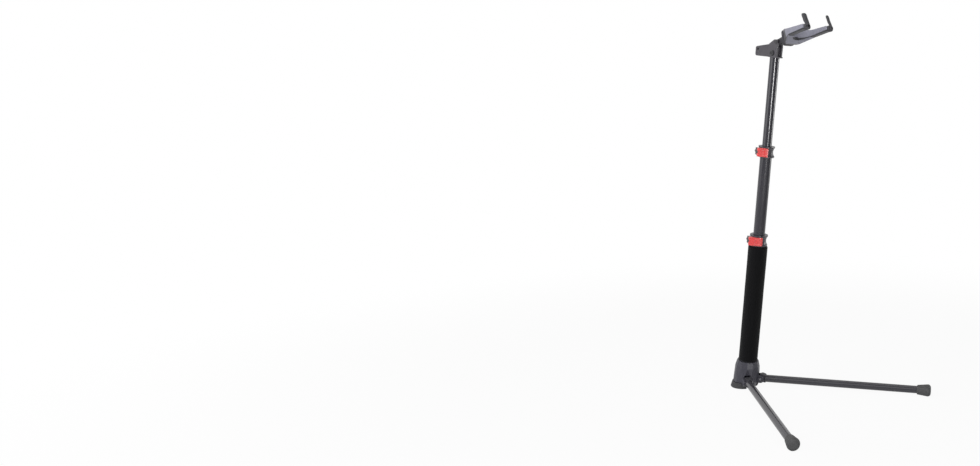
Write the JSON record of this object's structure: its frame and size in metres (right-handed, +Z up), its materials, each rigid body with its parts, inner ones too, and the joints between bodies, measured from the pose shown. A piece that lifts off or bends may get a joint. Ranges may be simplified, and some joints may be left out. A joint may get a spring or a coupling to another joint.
{
  "type": "guitar stand",
  "caption": "Folding floor stand that hangs a guitar by its neck: leaning telescopic column with flip clamps, swing-up legs, round foot and a tilting self-closing yoke.",
  "frame": {"origin": "centre of the round foot's sole, on the floor", "axes": "+Z up, -Y to the front where the legs and the yoke point, +X to the right seen from the front"},
  "size_m": [0.5478, 0.482, 0.9849],
  "materials": {
    "tube_paint": "satin black paint",
    "foam": "closed-cell foam, matt",
    "boot_plastic": "moulded, fine grain",
    "foot_rubber": "matt",
    "cap_rubber": "matt",
    "black_plastic": "moulded, satin",
    "inner_plastic": "natural, slippery",
    "red_lever": "moulded, semi-gloss",
    "yoke_grey": "soft-touch skin",
    "finger_rubber": "soft-touch skin",
    "cast_black": "black coated casting",
    "steel": "zinc plated",
    "black_steel": "black oxide"
  },
  "bodies": {
    "base": {"base_boot": "boot_plastic", "base_foot": "foot_rubber", "base_plug": "inner_plastic", "base_screw": "steel", "leg_pins": "steel", "lower_tube": "tube_paint", "foam_grip": "foam", "lower_collar": "black_plastic", "lower_clamp_bolt": "steel", "lower_clamp_nut": "steel"},
    "left_leg": {"left_leg_root": "cast_black", "left_leg_tube": "tube_paint", "left_leg_rivet": "black_steel", "left_leg_cap": "cap_rubber"},
    "right_leg": {"right_leg_root": "cast_black", "right_leg_tube": "tube_paint", "right_leg_rivet": "black_steel", "right_leg_cap": "cap_rubber"},
    "lower_clamp_lever": {"lower_lever": "red_lever", "lower_lever_pin": "steel"},
    "mid_column": {"mid_tube": "tube_paint", "mid_bushing": "inner_plastic", "upper_collar": "black_plastic", "upper_clamp_bolt": "steel", "upper_clamp_nut": "steel"},
    "upper_clamp_lever": {"upper_lever": "red_lever", "upper_lever_pin": "steel"},
    "upper_column": {"upper_tube": "tube_paint", "upper_bushing": "inner_plastic", "head_bracket": "black_plastic", "lock_bolt": "black_steel", "lock_nut": "black_steel", "tilt_pin": "black_steel"},
    "tilt_lock": {"lock_lever": "black_plastic"},
    "yoke_mount": {"yoke_neck": "cast_black", "back_plate": "cast_black", "plate_screws": "steel", "drive_fork": "inner_plastic"},
    "yoke": {"yoke_rear": "black_plastic", "yoke_body": "yoke_grey", "yoke_cover": "yoke_grey", "cover_screws": "black_steel", "return_spring": "steel"},
    "left_hook": {"left_finger": "finger_rubber", "left_finger_shaft": "steel", "left_finger_screw": "black_steel"},
    "right_hook": {"right_finger": "finger_rubber", "right_finger_shaft": "steel", "right_finger_screw": "black_steel"}
  },
  "joints": [
    {"name": "left_leg_fold", "type": "hinge", "parent": "base", "child": "left_leg", "pos_m": [-0.02559, -0.04296, 0.024], "axis": [-0.8591, 0.5117, 0], "range_deg": [0, 80]},
    {"name": "right_leg_fold", "type": "hinge", "parent": "base", "child": "right_leg", "pos_m": [0.02559, -0.04296, 0.024], "axis": [-0.8591, -0.5117, 0], "range_deg": [0, 80]},
    {"name": "lower_clamp_open", "type": "hinge", "parent": "base", "child": "lower_clamp_lever", "pos_m": [-0.02953, -0.06432, 0.41404], "axis": [0, 0.1399, -0.9902], "range_deg": [0, 90]},
    {"name": "mid_tube_slide", "type": "slide", "parent": "base", "child": "mid_column", "axis": [0, -0.1399, 0.9902], "range_m": [-0.2, 0.066]},
    {"name": "upper_clamp_open", "type": "hinge", "parent": "mid_column", "child": "upper_clamp_lever", "pos_m": [-0.02728, -0.0985, 0.64816], "axis": [0, 0.1399, -0.9902], "range_deg": [0, 90]},
    {"name": "upper_tube_slide", "type": "slide", "parent": "mid_column", "child": "upper_column", "axis": [0, -0.1399, 0.9902], "range_m": [-0.215, 0.069]},
    {"name": "tilt_lock_press", "type": "hinge", "parent": "upper_column", "child": "tilt_lock", "pos_m": [0, -0.13369, 0.89759], "axis": [-1, 0, 0], "range_deg": [0, 10]},
    {"name": "yoke_tilt", "type": "hinge", "parent": "upper_column", "child": "yoke_mount", "pos_m": [0, -0.1475, 0.92392], "axis": [-1, 0, 0], "range_deg": [0, 67]},
    {"name": "yoke_drop", "type": "slide", "parent": "yoke_mount", "child": "yoke", "axis": [0, -0.1495, -0.9888], "range_m": [0, 0.0046], "stiffness_N_per_m": 500, "springref_m": -0.012, "deforming": ["return_spring"]},
    {"name": "left_hook_turn", "type": "hinge", "parent": "yoke", "child": "left_hook", "pos_m": [-0.042, -0.2827, 0.95286], "axis": [0, 0.9888, -0.1495], "range_deg": [0, 90]},
    {"name": "right_hook_turn", "type": "hinge", "parent": "yoke", "child": "right_hook", "pos_m": [0.042, -0.2827, 0.95286], "axis": [0, -0.9888, 0.1495], "range_deg": [0, 90]}
  ],
  "couplings": [
    {"joint": "left_hook_turn", "follows": "yoke_drop", "rad_per_m": 341.48},
    {"joint": "right_hook_turn", "follows": "yoke_drop", "rad_per_m": 341.48}
  ]
}
